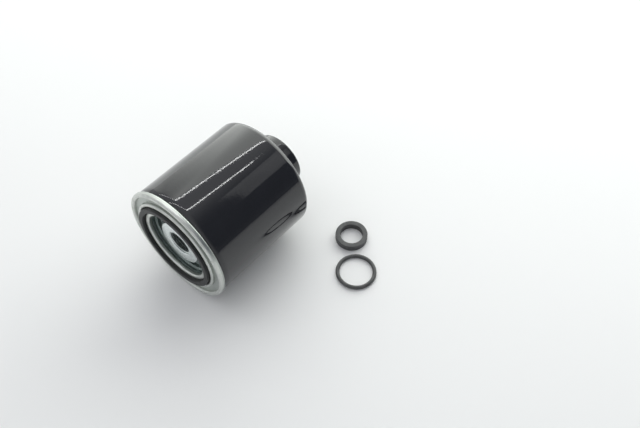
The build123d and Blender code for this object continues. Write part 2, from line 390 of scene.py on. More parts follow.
def turned_group() -> bpy.types.NodeTree:
    """Marks that run round the Y axis, as turning and rolling leave them: output Marks; returns it."""
    nodes, io = shader_group("turned_marks", {"Across": 0.12 * MM, "Around": 2.0}, ("Marks",))
    x, y, z = nodes.add("ShaderNodeSeparateXYZ", {0: io["Place"]}).outputs
    r = nodes.length(x, z)
    safe = nodes.math("MAXIMUM", r, 1e-5)
    round_x, round_z = (nodes.product(nodes.math("DIVIDE", side, safe), io["Around"]) for side in (x, z))
    radial_share = 0.83
    line = nodes.math("DIVIDE", nodes.math("ADD", nodes.product(r, radial_share), y), io["Across"])
    where = nodes.add("ShaderNodeCombineXYZ", {0: round_x, 1: line, 2: round_z})
    noise = nodes.add("ShaderNodeTexNoise", {"Vector": where.outputs[0], "Scale": 1.0, "Detail": 3.0})
    nodes.tree.links.new(noise.outputs[0], io["end"].inputs["Marks"])
    return nodes.tree


def dust_group() -> bpy.types.NodeTree:
    """Dust that settles on faces that look up: output Dust, 0 to 1; returns the group."""
    nodes, io = shader_group("settled_dust", {"Speck Size": 0.5 * MM, "Amount": 0.3}, ("Dust",))
    facing = nodes.add("ShaderNodeNewGeometry")
    up = nodes.add("ShaderNodeSeparateXYZ", {0: facing.outputs["Normal"]}).outputs[2]
    scale = nodes.math("DIVIDE", 1.0, io["Speck Size"])
    noise = nodes.add(
        "ShaderNodeTexNoise", {"Vector": io["Place"], "Scale": scale, "Detail": 6.0, "Roughness": 0.7},
    )
    speck = nodes.ramp(noise.outputs[0], 0.52, 0.78)
    lying = nodes.ramp(up, -0.1, 1.0)
    nodes.tree.links.new(nodes.product(speck, lying, io["Amount"]), io["end"].inputs["Dust"])
    return nodes.tree


def zone_group() -> bpy.types.NodeTree:
    """Where a turned part is beyond a radius and behind a depth: output Zone, 0 to 1; returns the group."""
    nodes, io = shader_group("turned_zone", {"From Radius": 18 * MM, "From Depth": 0.3 * MM}, ("Zone",))
    x, y, z = nodes.add("ShaderNodeSeparateXYZ", {0: io["Place"]}).outputs
    soft_edge = 0.3 * MM
    beyond = nodes.math("DIVIDE", nodes.math("SUBTRACT", nodes.length(x, z), io["From Radius"]), soft_edge)
    behind = nodes.math("DIVIDE", nodes.math("SUBTRACT", y, io["From Depth"]), soft_edge)
    zone = nodes.product(nodes.ramp(beyond, 0.0, 1.0), nodes.ramp(behind, 0.0, 1.0))
    nodes.tree.links.new(zone, io["end"].inputs["Zone"])
    return nodes.tree


class Groups:
    """The shared shader groups, each built once."""

    def __init__(self) -> None:
        """Builds every group."""
        self.grain = grain_group()
        self.turned = turned_group()
        self.dust = dust_group()
        self.zone = zone_group()


class Skin:
    """A material in the making: its nodes, its Principled shader and its place coordinates."""

    def __init__(self, name: str, centre: Vector | None = None) -> None:
        """Starts a material.

        Args:
            name: name of the material.
            centre: point that patterns are centred on, or None for the origin.
        """
        self.material = bpy.data.materials.new(name)
        self.material.use_nodes = True
        tree = self.material.node_tree
        tree.nodes.clear()
        self.nodes = Nodes(tree)
        self.shader = self.nodes.add("ShaderNodeBsdfPrincipled")
        self.nodes.add("ShaderNodeOutputMaterial", {0: self.shader.outputs[0]})
        place = self.nodes.add("ShaderNodeTexCoord").outputs["Object"]
        if centre is not None:
            shift = self.nodes.add("ShaderNodeMapping", {0: place})
            shift.inputs["Location"].default_value = -centre
            place = shift.outputs[0]
        self.place = place

    def group(self, tree: bpy.types.NodeTree, **values: float) -> bpy.types.Node:
        """Places a shared group with its own values, by input name with _ for a space; returns it."""
        node = self.nodes.add("ShaderNodeGroup", node_tree=tree)
        self.nodes.tree.links.new(self.place, node.inputs["Place"])
        for key, value in values.items():
            node.inputs[key.replace("_", " ")].default_value = value
        return node

    def uneven(self, value: bpy.types.NodeSocket, low: float, high: float) -> bpy.types.NodeSocket:
        """Value between 0 and 1 spread between low and high; returns it."""
        return self.nodes.add("ShaderNodeMapRange", {0: value, 3: low, 4: high}).outputs[0]

    def bump(self, height: bpy.types.NodeSocket, depth: float, under: object = None) -> bpy.types.NodeSocket:
        """A bump of that real depth in metres, over another one if given; returns its normal."""
        node = self.nodes.add("ShaderNodeBump", {"Height": height, "Distance": depth, "Strength": 1.0})
        if under is not None:
            self.nodes.tree.links.new(under, node.inputs["Normal"])
        return node.outputs[0]

    def set(self, **sockets: object) -> bpy.types.Material:
        """Sets the shader's inputs, by name with _ for a space, and returns the material."""
        for key, value in sockets.items():
            socket = self.shader.inputs[key.replace("_", " ")]
            if isinstance(value, bpy.types.NodeSocket):
                self.nodes.tree.links.new(value, socket)
            else:
                socket.default_value = value
        return self.material


# ---------------------------------------------------------------- finishes


@dataclass(frozen=True)
class Enamel:
    """Glossy black stove enamel, with the slight orange peel of a sprayed can."""

    name: str = "black_enamel"
    colour: Triple = (0.013, 0.0135, 0.016)
    roughness: float = 0.055
    peel_size: float = 2.2 * MM
    peel_depth: float = 0.021 * MM
    dust_colour: Triple = (0.5, 0.5, 0.48)

    def make(self, groups: Groups) -> bpy.types.Material:
        """Builds the material.

        Args:
            groups: shared shader groups.

        Returns:
            The material.
        """
        skin = Skin(self.name)
        peel = skin.group(groups.grain, Grain_Size=self.peel_size, Blotch_Size=14 * MM)
        fine = skin.group(groups.grain, Grain_Size=0.25 * MM, Blotch_Size=3 * MM)
        dust = skin.group(groups.dust, Speck_Size=0.35 * MM, Amount=0.025)
        tone = tuple(1.6 * c for c in self.colour)
        base = skin.nodes.mix(skin.uneven(peel.outputs["Blotch"], 0.0, 0.6), self.colour, tone)
        base = skin.nodes.mix(dust.outputs["Dust"], base, self.dust_colour)
        rough = skin.uneven(fine.outputs["Blotch"], self.roughness * 0.6, self.roughness * 1.5)
        normal = skin.bump(peel.outputs["Grain"], self.peel_depth)
        normal = skin.bump(fine.outputs["Grain"], self.peel_depth / 40, normal)
        return skin.set(
            Base_Color=base, Roughness=rough, Normal=normal, Coat_Weight=0.35, Coat_Roughness=0.03,
        )


@dataclass(frozen=True)
class Plated:
    """Zinc plated steel, dulled by handling, with marks that run round the axis, and an optional painted
    shade that darkens it past a radius and deeper than a depth.
    """

    name: str
    colour: Triple
    stain: Triple
    roughness: float
    mark_size: float = 0.1 * MM
    mark_depth: float = 0.003 * MM
    # painted shade: colour that stands in for the shade down in recesses, and where it starts (radius, depth)
    depth_shade: Triple | None = None
    depth_shade_start: tuple[float, float] = (0.0, 0.0)

    def make(self, groups: Groups) -> bpy.types.Material:
        """Builds the material.

        Args:
            groups: shared shader groups.

        Returns:
            The material.
        """
        skin = Skin(self.name)
        marks = skin.group(groups.turned, Across=self.mark_size, Around=3.0)
        grain = skin.group(groups.grain, Grain_Size=0.35 * MM, Blotch_Size=6 * MM)
        cloud = skin.nodes.ramp(grain.outputs["Blotch"], 0.42, 0.68)
        base = skin.nodes.mix(cloud, self.colour, self.stain)
        fine = skin.uneven(marks.outputs["Marks"], 0.0, 0.35)
        base = skin.nodes.mix(fine, base, tuple(0.8 * c for c in self.stain))
        # Painted shade: past the given radius and deeper than the given depth, the colour turns to the darker
        # shade colour.
        if self.depth_shade is not None:
            radius, depth = self.depth_shade_start
            zone = skin.group(groups.zone, From_Radius=radius, From_Depth=depth)
            base = skin.nodes.mix(zone.outputs["Zone"], base, self.depth_shade)
        worn = skin.nodes.math("ADD", marks.outputs["Marks"], grain.outputs["Grain"])
        rough = skin.uneven(skin.nodes.product(worn, 0.5), self.roughness * 0.7, self.roughness * 1.35)
        normal = skin.bump(marks.outputs["Marks"], self.mark_depth)
        normal = skin.bump(grain.outputs["Grain"], self.mark_depth / 2, normal)
        return skin.set(Base_Color=base, Roughness=rough, Normal=normal, Metallic=1.0)


@dataclass(frozen=True)
class Rubber:
    """Moulded black rubber with a soft skin, fine grain and a little dust."""

    name: str
    colour: Triple
    bloom: Triple
    roughness: float
    dust: float
    centre: Vector | None = None
    dust_colour: Triple = (0.42, 0.42, 0.4)

    def make(self, groups: Groups) -> bpy.types.Material:
        """Builds the material.

        Args:
            groups: shared shader groups.

        Returns:
            The material.
        """
        skin = Skin(self.name, self.centre)
        grain = skin.group(groups.grain, Grain_Size=0.18 * MM, Blotch_Size=4 * MM)
        marks = skin.group(groups.turned, Across=0.3 * MM, Around=4.0)
        dust = skin.group(groups.dust, Speck_Size=0.3 * MM, Amount=self.dust)
        base = skin.nodes.mix(skin.nodes.ramp(grain.outputs["Blotch"], 0.35, 0.75), self.colour, self.bloom)
        base = skin.nodes.mix(dust.outputs["Dust"], base, self.dust_colour)
        rough = skin.uneven(grain.outputs["Grain"], self.roughness * 0.8, min(1.0, self.roughness * 1.2))
        normal = skin.bump(grain.outputs["Grain"], 0.012 * MM)
        normal = skin.bump(marks.outputs["Marks"], 0.006 * MM, normal)
        return skin.set(
            Base_Color=base, Roughness=rough, Normal=normal, Sheen_Weight=0.03, Sheen_Roughness=0.5,
        )


@dataclass(frozen=True)
class Paper:
    """Resin treated filter paper, with its fibres."""

    name: str = "filter_paper"
    colour: Triple = (0.80, 0.68, 0.43)
    fibre: Triple = (0.62, 0.49, 0.27)

    def make(self, groups: Groups) -> bpy.types.Material:
        """Builds the material.

        Args:
            groups: shared shader groups.

        Returns:
            The material.
        """
        skin = Skin(self.name)
        grain = skin.group(groups.grain, Grain_Size=0.25 * MM, Blotch_Size=5 * MM)
        base = skin.nodes.mix(skin.nodes.ramp(grain.outputs["Grain"], 0.35, 0.7), self.colour, self.fibre)
        rough = skin.uneven(grain.outputs["Blotch"], 0.8, 0.95)
        return skin.set(Base_Color=base, Roughness=rough, Normal=skin.bump(grain.outputs["Grain"], 0.03 * MM))


@dataclass(frozen=True)
class Compound:
    """Cured plastisol or sealing compound, poured and a little uneven."""

    name: str
    colour: Triple

    def make(self, groups: Groups) -> bpy.types.Material:
        """Builds the material.

        Args:
            groups: shared shader groups.

        Returns:
            The material.
        """
        skin = Skin(self.name)
        grain = skin.group(groups.grain, Grain_Size=0.6 * MM, Blotch_Size=5 * MM)
        shade = tuple(0.6 * c for c in self.colour)
        base = skin.nodes.mix(grain.outputs["Blotch"], self.colour, shade)
        rough = skin.uneven(grain.outputs["Grain"], 0.3, 0.6)
        return skin.set(Base_Color=base, Roughness=rough, Normal=skin.bump(grain.outputs["Blotch"], 0.1 * MM))


class Finishes:
    """All the materials of the object, each built once."""

    def __init__(self, o_ring: Vector, square: Vector) -> None:
        """Builds the materials.

        Args:
            o_ring: middle of the loose O-ring.
            square: middle of the loose square seal.
        """
        groups = Groups()
        self.enamel = Enamel().make(groups)
        # painted shade: the lid is painted darker behind y = -1.6 mm, down in its groove and channel
        self.lid = Plated(
            "lid_zinc", colour=(0.67, 0.69, 0.66), stain=(0.56, 0.585, 0.555), roughness=0.36,
            depth_shade=(0.46, 0.49, 0.465), depth_shade_start=(0.0, -1.6 * MM),
        ).make(groups)
        self.hub = Plated(
            "hub_zinc", colour=(0.80, 0.85, 0.84), stain=(0.68, 0.74, 0.735), roughness=0.24,
        ).make(groups)
        # painted shade: the plate is painted dark everywhere behind y = 0.3 mm, in its recess and bore, so
        # that only the hub face stays bright
        self.plate = Plated(
            "plate_zinc", colour=(0.86, 0.92, 0.91), stain=(0.74, 0.80, 0.795), roughness=0.26,
            depth_shade=(0.28, 0.32, 0.31), depth_shade_start=(0.0, 0.3 * MM),
        ).make(groups)
        self.thread = Plated(
            "thread_zinc", colour=(0.66, 0.70, 0.69), stain=(0.42, 0.46, 0.455), roughness=0.33,
        ).make(groups)
        self.inner = Plated(
            "inner_sheet", colour=(0.62, 0.63, 0.62), stain=(0.45, 0.46, 0.45), roughness=0.35,
        ).make(groups)
        self.spring = Plated(
            "spring_wire", colour=(0.36, 0.36, 0.37), stain=(0.25, 0.25, 0.26), roughness=0.30,
            mark_size=0.4 * MM,
        ).make(groups)
        self.gasket = Rubber(
            "gasket_rubber", colour=(0.012, 0.0125, 0.013), bloom=(0.024, 0.025, 0.025), roughness=0.55,
            dust=0.03,
        ).make(groups)
        self.o_ring = Rubber(
            "o_ring_rubber", colour=(0.05, 0.052, 0.053), bloom=(0.075, 0.077, 0.078), roughness=0.5,
            dust=0.12, centre=o_ring,
        ).make(groups)
        self.square = Rubber(
            "square_seal_rubber", colour=(0.055, 0.057, 0.058), bloom=(0.085, 0.087, 0.088), roughness=0.6,
            dust=0.2, centre=square,
        ).make(groups)
        self.paper = Paper().make(groups)
        self.glue = Compound("pleat_plastisol", colour=(0.5, 0.09, 0.05)).make(groups)
        self.sealant = Compound("seam_compound", colour=(0.3, 0.3, 0.27)).make(groups)


def dress(piece: bpy.types.Object, material: bpy.types.Material, body: Body, slot: str, *nodes: str) -> None:
    """Gives a new piece its finish and its body, and hides the nodes that it stands for.

    Args:
        piece: the piece.
        material: its finish.
        body: body that it rides on.
        slot: not used.
        nodes: CAD nodes that it replaces.
    """
    piece.data.materials.clear()
    piece.data.materials.append(material)
    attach(piece, body.value)
    if nodes:
        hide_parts(*nodes)
    log.info("%s: %d faces", piece.name, len(piece.data.polygons))


def repaint(node: str, material: bpy.types.Material) -> None:
    """Gives a CAD node that stays a finished material."""
    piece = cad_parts[node]
    if not piece.material_slots:
        piece.data.materials.append(material)
    for slot in piece.material_slots:
        slot.material = material
    log.info("%s: CAD mesh, new finish", node)


# ---------------------------------------------------------------- geometry node trees


class Tree(Nodes):
    """A Geometry Nodes tree with named inputs, that grows finished meshes."""

    SOCKETS = {float: "NodeSocketFloat", int: "NodeSocketInt"}

    def __init__(self, name: str, inputs: dict[str, float | int]) -> None:
        """Starts a tree.

        Args:
            name: name of the tree.
            inputs: named number inputs with their defaults.
        """
        super().__init__(bpy.data.node_groups.new(name, "GeometryNodeTree"))
        self.tree.is_modifier = True
        face = self.tree.interface
        face.new_socket("Geometry", in_out="INPUT", socket_type="NodeSocketGeometry")
        face.new_socket("Finish", in_out="INPUT", socket_type="NodeSocketMaterial")
        for label, default in inputs.items():
            socket = face.new_socket(label, in_out="INPUT", socket_type=self.SOCKETS[type(default)])
            socket.default_value = default
        face.new_socket("Geometry", in_out="OUTPUT", socket_type="NodeSocketGeometry")
        self.io = {s.name: s for s in self.add("NodeGroupInput").outputs if s.name}

    def polar(self, radius: object, angle: bpy.types.NodeSocket, y: object) -> bpy.types.NodeSocket:
        """The point at that radius and angle about the Y axis, at that y; returns it."""
        x = self.product(radius, self.math("COSINE", angle))
        z = self.product(radius, self.math("SINE", angle))
        return self.add("ShaderNodeCombineXYZ", {0: x, 1: y, 2: z}).outputs[0]

    def sheet(self, long: object, wide: int) -> tuple[bpy.types.NodeSocket, ...]:
        """A square grid to be bent into shape.

        Args:
            long: number of points along it.
            wide: number of points across it.

        Returns:
            Its geometry, the share of its length (0 to 1), and the place across it (-0.5 to 0.5).
        """
        sizes = {"Vertices X": long, "Vertices Y": wide, "Size X": 1.0, "Size Y": 1.0}
        grid = self.add("GeometryNodeMeshGrid", sizes)
        place = self.add("ShaderNodeSeparateXYZ", {0: self.add("GeometryNodeInputPosition").outputs[0]})
        return grid.outputs[0], self.math("ADD", place.outputs[0], 0.5), place.outputs[1]

    def pierce(self, points: object, cutter: object, rotation: object) -> None:
        """Cuts one cutter at each point out of the mesh that comes in, and ends the tree.

        Args:
            points: where the cutters stand.
            cutter: geometry of one cutter.
            rotation: how each one is turned.
        """
        cutters = self.add("GeometryNodeInstanceOnPoints", {
            "Points": points, "Instance": cutter, "Rotation": rotation,
        })
        cut = self.add("GeometryNodeMeshBoolean", operation="DIFFERENCE", solver="EXACT")
        self.tree.links.new(self.io["Geometry"], cut.inputs[0])
        self.tree.links.new(cutters.outputs[0], cut.inputs[1])
        self.end(cut.outputs[0])

    def move(self, geometry: bpy.types.NodeSocket, position: bpy.types.NodeSocket) -> bpy.types.NodeSocket:
        """Sets every point's position; returns the geometry."""
        return self.add("GeometryNodeSetPosition", {"Geometry": geometry, "Position": position}).outputs[0]

    def index(self) -> bpy.types.NodeSocket:
        """The index of a point."""
        return self.add("GeometryNodeInputIndex").outputs[0]

    def end(self, geometry: bpy.types.NodeSocket) -> None:
        """Realizes instances, sets the finish and ends the tree with this geometry."""
        real = self.add("GeometryNodeRealizeInstances", {"Geometry": geometry})
        done = self.add("GeometryNodeSetMaterial", {
            "Geometry": real.outputs[0], "Material": self.io["Finish"],
        })
        self.add("NodeGroupOutput", {0: done.outputs[0]})

    def grow(
        self, name: str, finish: bpy.types.Material, base: bpy.types.Object | None = None, **values: float,
    ) -> bpy.types.Object:
        """Evaluates the tree into a plain mesh object.

        Args:
            name: name of the new piece.
            finish: material to set.
            base: object whose mesh goes in; it is used up.
            values: inputs, by name with _ for a space.

        Returns:
            The new object, with no modifier left.
        """
        host = base or object_from(name + "_host", bpy.data.meshes.new(name))
        modifier = host.modifiers.new("grow", "NODES")
        modifier.node_group = self.tree
        labels = {s.name: s.identifier for s in self.tree.interface.items_tree if s.in_out == "INPUT"}
        modifier[labels["Finish"]] = finish
        for key, value in values.items():
            modifier[labels[key.replace("_", " ")]] = value
        bpy.context.view_layer.update()
        graph = bpy.context.evaluated_depsgraph_get()
        mesh = bpy.data.meshes.new_from_object(host.evaluated_get(graph))
        host.modifiers.remove(modifier)
        bpy.data.objects.remove(host)
        mesh.name = name
        tidy_mesh(mesh)
        return object_from(name, mesh)


def thread_tree() -> Tree:
    """A ridge that winds round the Y axis inside a bore, fading out at both ends; returns the tree."""
    tree = Tree(
        "thread_ridge",
        {"Start": 0.0, "Length": 10 * MM, "Major Radius": 10 * MM, "Depth": 0.8 * MM, "Pitch": 1.5 * MM,
         "Steps": 96},
    )
    io = tree.io
    turns = tree.math("DIVIDE", io["Length"], io["Pitch"])
    section_points, fade, steepness, root_sink, half_width = 9, 0.05, -1.35, -0.1, 0.47
    grid, share, across = tree.sheet(tree.product(turns, io["Steps"]), section_points)
    angle = tree.product(share, turns, 2 * math.pi)
    ends = tree.product(tree.ramp(share, 0.0, fade), tree.ramp(share, 1.0, 1.0 - fade))
    section = tree.product(across, 2 * math.pi)
    flank = tree.math("POWER", tree.math("COSINE", section), 3.0)
    crest = tree.math("MINIMUM", tree.product(tree.math("SINE", section), steepness), 1.0)
    height = tree.product(io["Depth"], ends, tree.math("MAXIMUM", crest, root_sink))
    radius = tree.math("SUBTRACT", tree.math("ADD", io["Major Radius"], 0.02 * MM), height)
    wide = tree.product(flank, ends, io["Pitch"], half_width)
    along = tree.math("ADD", tree.math("ADD", io["Start"], tree.product(share, io["Length"])), wide)
    ridge = tree.move(grid, tree.polar(radius, angle, along))
    closed = tree.add("GeometryNodeMergeByDistance", {"Geometry": ridge, "Distance": 0.001 * MM})
    tree.end(closed.outputs[0])
    return tree


def spring_tree() -> Tree:
    """A wire wound round the Y axis, with a flat coil at each end; returns the tree."""
    tree = Tree(
        "coil_spring", {"Start": 0.0, "Length": 13 * MM, "Radius": 20 * MM, "Wire": 2 * MM, "Turns": 4.0},
    )
    io = tree.io
    flat_share = 0.14
    wire_radius = tree.math("DIVIDE", io["Wire"], 2.0)
    line = tree.add("GeometryNodeCurvePrimitiveLine", {"End": (1.0, 0.0, 0.0)})
    curve = tree.add("GeometryNodeResampleCurve", {"Curve": line.outputs[0], "Count": 320})
    share = tree.add("GeometryNodeSplineParameter").outputs["Factor"]
    angle = tree.product(share, io["Turns"], 2 * math.pi)
    rise = tree.add("ShaderNodeMapRange", {0: share, 1: flat_share, 2: 1.0 - flat_share}).outputs[0]
    travel = tree.product(rise, tree.math("SUBTRACT", io["Length"], io["Wire"]))
    first = tree.math("ADD", io["Start"], wire_radius)
    coil = tree.move(curve.outputs[0], tree.polar(io["Radius"], angle, tree.math("ADD", first, travel)))
    section = tree.add("GeometryNodeCurvePrimitiveCircle", {"Resolution": 16, "Radius": wire_radius})
    wire = tree.add("GeometryNodeCurveToMesh", {
        "Curve": coil, "Profile Curve": section.outputs[0], "Fill Caps": True,
    })
    tree.end(wire.outputs[0])
    return tree


def pleat_tree() -> Tree:
    """Paper folded to and fro round the Y axis, as a closed tube one sheet thick; returns the tree."""
    tree = Tree(
        "pleats",
        {"Start": 0.0, "Length": 60 * MM, "Inner Radius": 20 * MM, "Outer Radius": 38 * MM, "Pleats": 44},
    )
    io = tree.io
    per_fold, rows = 6, 24
    count = tree.math("ADD", tree.product(io["Pleats"], 2.0 * per_fold), 1.0)
    grid, share, across = tree.sheet(count, rows)
    zigzag = tree.math("PINGPONG", tree.product(share, io["Pleats"], 2.0), 1.0)
    depth = tree.math("SUBTRACT", io["Outer Radius"], io["Inner Radius"])
    radius = tree.math("SUBTRACT", io["Outer Radius"], tree.product(zigzag, depth))
    along = tree.math("ADD", io["Start"], tree.product(tree.math("ADD", across, 0.5), io["Length"]))
    folded = tree.move(grid, tree.polar(radius, tree.product(share, 2 * math.pi), along))
    closed = tree.add("GeometryNodeMergeByDistance", {"Geometry": folded, "Distance": 0.01 * MM})
    tree.end(closed.outputs[0])
    return tree


def ring_points(
    tree: Tree, count: object, radius: object, along: object, offset: object,
) -> bpy.types.NodeSocket:
    """Points evenly round the Y axis.

    Args:
        tree: tree to add to.
        count: number of points.
        radius: radius of their circle.
        along: place along the axis.
        offset: angle of the first, in radians.

    Returns:
        The points' geometry.
    """
    line = tree.add("GeometryNodeMeshLine", {"Count": count, "Offset": (0.0, 0.0, 0.0)})
    step = tree.math("DIVIDE", 2 * math.pi, count)
    angle = tree.math("ADD", tree.product(tree.index(), step), offset)
    return tree.move(line.outputs[0], tree.polar(radius, angle, along))


def drill_tree() -> Tree:
    """Drills a ring of holes along Y in the mesh that comes in, with broken edges; returns the tree."""
    tree = Tree(
        "hole_ring",
        {"Count": 8, "Circle": 24 * MM, "Hole Radius": 2.2 * MM, "Break": 0.3 * MM, "Front": 6 * MM,
         "Depth": 4 * MM, "Turn": 0.0},
    )
    io = tree.io
    points = ring_points(tree, io["Count"], io["Circle"], io["Front"], io["Turn"])
    over = 0.5 * MM
    length = tree.math("ADD", tree.product(io["Depth"], 2.0), over)
    sides = 40
    drill = tree.add("GeometryNodeMeshCylinder", {
        "Vertices": sides, "Radius": io["Hole Radius"], "Depth": length,
    })
    wide = tree.math("ADD", tree.math("ADD", io["Hole Radius"], io["Break"]), over)
    sink = tree.add("GeometryNodeMeshCone", {
        "Vertices": sides, "Radius Top": io["Hole Radius"], "Radius Bottom": wide,
        "Depth": tree.math("ADD", io["Break"], over),
    })
    down = tree.add("GeometryNodeTransform", {"Geometry": sink.outputs[0], "Translation": (0.0, 0.0, -over)})
    both = tree.add("GeometryNodeMeshBoolean", operation="UNION", solver="EXACT")
    for part in (drill.outputs[0], down.outputs[0]):
        tree.tree.links.new(part, both.inputs[1])
    tree.pierce(points, both.outputs[0], ALONG_Y)
    return tree


def perforate_tree() -> Tree:
    """Pierces staggered rows of radial holes in the tube that comes in; returns the tree."""
    tree = Tree(
        "perforation",
        {"Rows": 7, "Across": 8, "Start": 15 * MM, "Length": 59 * MM, "Radius": 19 * MM,
         "Hole Radius": 2.4 * MM},
    )
    io = tree.io
    total = tree.product(io["Rows"], io["Across"])
    line = tree.add("GeometryNodeMeshLine", {"Count": total, "Offset": (0.0, 0.0, 0.0)})
    row = tree.math("FLOOR", tree.math("DIVIDE", tree.math("ADD", tree.index(), 0.5), io["Across"]))
    stagger = tree.product(tree.math("MODULO", row, 2.0), 0.5)
    turns = tree.math("DIVIDE", tree.math("ADD", tree.index(), stagger), io["Across"])
    angle = tree.product(turns, 2 * math.pi)
    share = tree.math("DIVIDE", tree.math("ADD", row, 0.5), io["Rows"])
    along = tree.math("ADD", io["Start"], tree.product(share, io["Length"]))
    points = tree.move(line.outputs[0], tree.polar(io["Radius"], angle, along))
    aim = tree.add("FunctionNodeAlignRotationToVector", {"Vector": tree.polar(1.0, angle, 0.0)}, axis="Z")
    drill = tree.add("GeometryNodeMeshCylinder", {
        "Vertices": 24, "Radius": io["Hole Radius"], "Depth": 4 * MM,
    })
    tree.pierce(points, drill.outputs[0], aim.outputs[0])
    return tree


def weld_tree() -> Tree:
    """A ring of low round weld spots on the Y axis; returns the tree."""
    tree = Tree(
        "weld_spots",
        {"Count": 8, "Circle": 34 * MM, "Spot Radius": 2 * MM, "Front": 0.0, "Depth": 1.35 * MM},
    )
    io = tree.io
    middle = tree.math("ADD", io["Front"], tree.math("DIVIDE", io["Depth"], 2.0))
    points = ring_points(tree, io["Count"], io["Circle"], middle, 0.0)
    spot = tree.add("GeometryNodeMeshCylinder", {
        "Vertices": 32, "Side Segments": 2, "Fill Segments": 3, "Radius": io["Spot Radius"],
        "Depth": io["Depth"],
    })
    spots = tree.add("GeometryNodeInstanceOnPoints", {
        "Points": points, "Instance": spot.outputs[0], "Rotation": ALONG_Y,
    })
    tree.end(spots.outputs[0])
    return tree


# ---------------------------------------------------------------- sub-assemblies


@dataclass(frozen=True)
class Seam:
    """The double seam that folds the lid over the can: five layers of sheet, rolled."""

    sheet: float = 0.7 * MM
    gap: float = 0.06 * MM
    hook: float = 1.2 * MM
    hook_gap: float = 0.12 * MM
    fold: float = 0.6 * MM
    rim: float = field(default_factory=lambda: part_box("seam_lid")[1].x)
    front: float = field(default_factory=lambda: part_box("seam_lid")[0].y)

    @property
    def pitch(self) -> float:
        """From the middle of one layer to the middle of the next."""
        return self.sheet + self.gap

    @property
    def reach(self) -> float:
        """Half the width of the seam's rounded front."""
        return 2 * self.pitch + self.sheet / 2

    @property
    def middle(self) -> float:
        """Radius of the seam's middle layer."""
        return self.rim - self.reach

    @property
    def roll_y(self) -> float:
        """Where the rounded front ends and the straight layers start."""
        return self.front + self.reach

    @property
    def curl_y(self) -> float:
        """Where the layers end and the curl starts."""
        return self.roll_y + self.hook + self.hook_gap

    @property
    def back(self) -> float:
        """Back of the seam."""
        return self.curl_y + self.pitch + self.sheet / 2

    @property
    def chuck(self) -> float:
        """Radius of the seam's innermost layer, in its middle."""
        return self.middle - 2 * self.pitch


@dataclass
class CanShell:
    """The drawn can: hooked edge, neck, wall, shoulder and rear end."""

    seam: Seam
    shoulder: float = 4.7 * MM
    neck_start: float = 0.3 * MM
    taper: float = 2.3 * MM
    neck_bend: float = 0.8 * MM
    crown: float = 7.0 * MM
    mouth: float = 17.55 * MM
    dent: float = 0.035 * MM

    def build(self, finishes: Finishes) -> None:
        """Builds and dresses the can.

        Args:
            finishes: the materials.
        """
        seam = self.seam
        half = seam.sheet / 2
        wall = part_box("can_shell")[1].x - half
        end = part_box("can_shell")[1].y - half
        neck = seam.back + self.neck_start
        line = Outline().to(seam.middle + seam.pitch, seam.roll_y + seam.hook)
        line.arc(seam.middle, seam.roll_y, seam.pitch, 0, -180)
        line.bends([
            Corner(seam.middle - seam.pitch, seam.roll_y),
            Corner(seam.middle - seam.pitch, neck, self.neck_bend),
            Corner(wall, neck + self.taper, self.crown),
            Corner(wall, end, self.shoulder - half),
            Corner(self.mouth + half, end),
        ])
        outline = line.sheet(seam.sheet).spaced(4 * MM)
        piece = lathe("can", outline, segments=320, shift=waviness(self.dent, lobes=(2, 3, 5, 9), seed=4))
        dress(piece, finishes.enamel, Body.CANISTER, "black_paint", "can_shell")


@dataclass
class SeamLid:
    """The sheet lid: inner lip, gasket groove, ridge, channel and the roll over the can."""

    seam: Seam
    channel: float = 4.7 * MM
    depth: float = 3.0 * MM
    ridge: float = 3.0 * MM
    ridge_rise: float = 0.45 * MM
    groove: float = 4.3 * MM
    lip: float = 3.9 * MM
    lip_fold: float = 0.95 * MM
    ripple: float = 0.10 * MM

    def build(self, finishes: Finishes) -> None:
        """Builds and dresses the lid.

        Args:
            finishes: the materials.
        """
        seam = self.seam
        sheet, half = seam.sheet, seam.sheet / 2
        floor = seam.front + self.depth
        ridge_out = seam.chuck - sheet - self.channel
        ridge_in = ridge_out - self.ridge + sheet
        lip_out = ridge_in - self.groove - sheet
        lip_in = lip_out - self.lip + sheet
        ridge_bend = (ridge_out - ridge_in) / 2
        ridge_y = seam.front - self.ridge_rise + half + ridge_bend
        lip_y = seam.front + half
        line = Outline(step=0.22 * MM).bends([
            Corner(lip_in, floor), Corner(lip_in, lip_y, self.lip_fold),
            Corner(lip_out, lip_y, self.lip_fold), Corner(lip_out, floor, seam.fold),
            Corner(ridge_in, floor, seam.fold), Corner(ridge_in, ridge_y),
        ])
        line.arc(ridge_in + ridge_bend, ridge_y, ridge_bend, 180, 180)
        line.bends([
            Corner(ridge_out, ridge_y), Corner(ridge_out, floor, seam.fold),
            Corner(seam.chuck, floor, seam.fold), Corner(seam.chuck, seam.roll_y),
        ])
        line.arc(seam.middle, seam.roll_y, 2 * seam.pitch, 180, 180)
        line.to(seam.middle + 2 * seam.pitch, seam.curl_y)
        line.arc(seam.middle + seam.pitch, seam.curl_y, seam.pitch, 0, 180)
        line.to(seam.middle, seam.roll_y + seam.hook / 4)
        shift = waviness(self.ripple, lobes=(3, 7, 16, 29), seed=11)
        piece = lathe("lid", line.sheet(sheet), segments=320, shift=shift)
        dress(piece, finishes.lid, Body.CANISTER, "tinned_sheet", "seam_lid")


